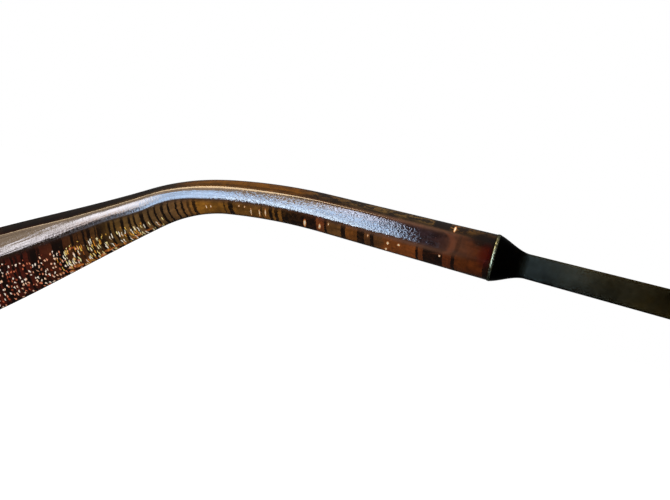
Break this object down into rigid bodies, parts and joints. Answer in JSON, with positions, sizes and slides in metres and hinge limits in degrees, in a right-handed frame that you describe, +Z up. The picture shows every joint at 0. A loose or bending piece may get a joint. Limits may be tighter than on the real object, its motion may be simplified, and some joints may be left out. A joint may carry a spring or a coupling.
{
  "type": "round sunglasses",
  "caption": "Round metal-framed sunglasses with folding temples, rocking nose pads and translucent brown temple tip sleeves.",
  "frame": {"origin": "on the table under the middle of the outline, with the temples open", "axes": "+Z up from the table; the lenses face -Y and the temples run towards +Y; +X is the wearer's left"},
  "size_m": [0.1378, 0.1486, 0.0518],
  "materials": {
    "frame_metal": "satin gunmetal with a brown patina",
    "bright_metal": "bright turned metal",
    "lens_tint": "polished brown tint",
    "pad_silicone": "clear soft gloss",
    "sleeve_acetate": "polished translucent brown with dark bands and gold flecks"
  },
  "bodies": {
    "front": {"bridge": "frame_metal", "rim_left": "frame_metal", "rim_right": "frame_metal", "closing_block_left": "frame_metal", "closing_block_right": "frame_metal", "end_piece_left": "frame_metal", "end_piece_right": "frame_metal", "front_hinge_left": "frame_metal", "front_hinge_right": "frame_metal", "pad_arm_left": "frame_metal", "pad_arm_right": "frame_metal", "rim_screw_left": "bright_metal", "rim_screw_right": "bright_metal", "hinge_screw_left": "bright_metal", "hinge_screw_right": "bright_metal", "pad_screw_left": "bright_metal", "pad_screw_right": "bright_metal", "lens_left": "lens_tint", "lens_right": "lens_tint"},
    "temple_left": {"temple_bar_left": "frame_metal", "temple_hinge_left": "frame_metal", "core_wire_left": "bright_metal", "tip_sleeve_left": "sleeve_acetate"},
    "temple_right": {"temple_bar_right": "frame_metal", "temple_hinge_right": "frame_metal", "core_wire_right": "bright_metal", "tip_sleeve_right": "sleeve_acetate"},
    "pad_left": {"nose_pad_left": "pad_silicone", "pad_insert_left": "bright_metal"},
    "pad_right": {"nose_pad_right": "pad_silicone", "pad_insert_right": "bright_metal"}
  },
  "joints": [
    {"name": "fold_left", "type": "hinge", "parent": "front", "child": "temple_left", "pos_m": [0.0652, -0.06164, 0.03765], "axis": [0, 0, 1], "range_deg": [0, 90]},
    {"name": "fold_right", "type": "hinge", "parent": "front", "child": "temple_right", "pos_m": [-0.0652, -0.06164, 0.03765], "axis": [0, 0, -1], "range_deg": [0, 84]},
    {"name": "rock_left", "type": "hinge", "parent": "front", "child": "pad_left", "pos_m": [0.01154, -0.06405, 0.0219], "axis": [0.4226, 0.9063, 0], "range_deg": [-8, 8]},
    {"name": "rock_right", "type": "hinge", "parent": "front", "child": "pad_right", "pos_m": [-0.01154, -0.06405, 0.0219], "axis": [-0.4226, 0.9063, 0], "range_deg": [-8, 8]}
  ]
}
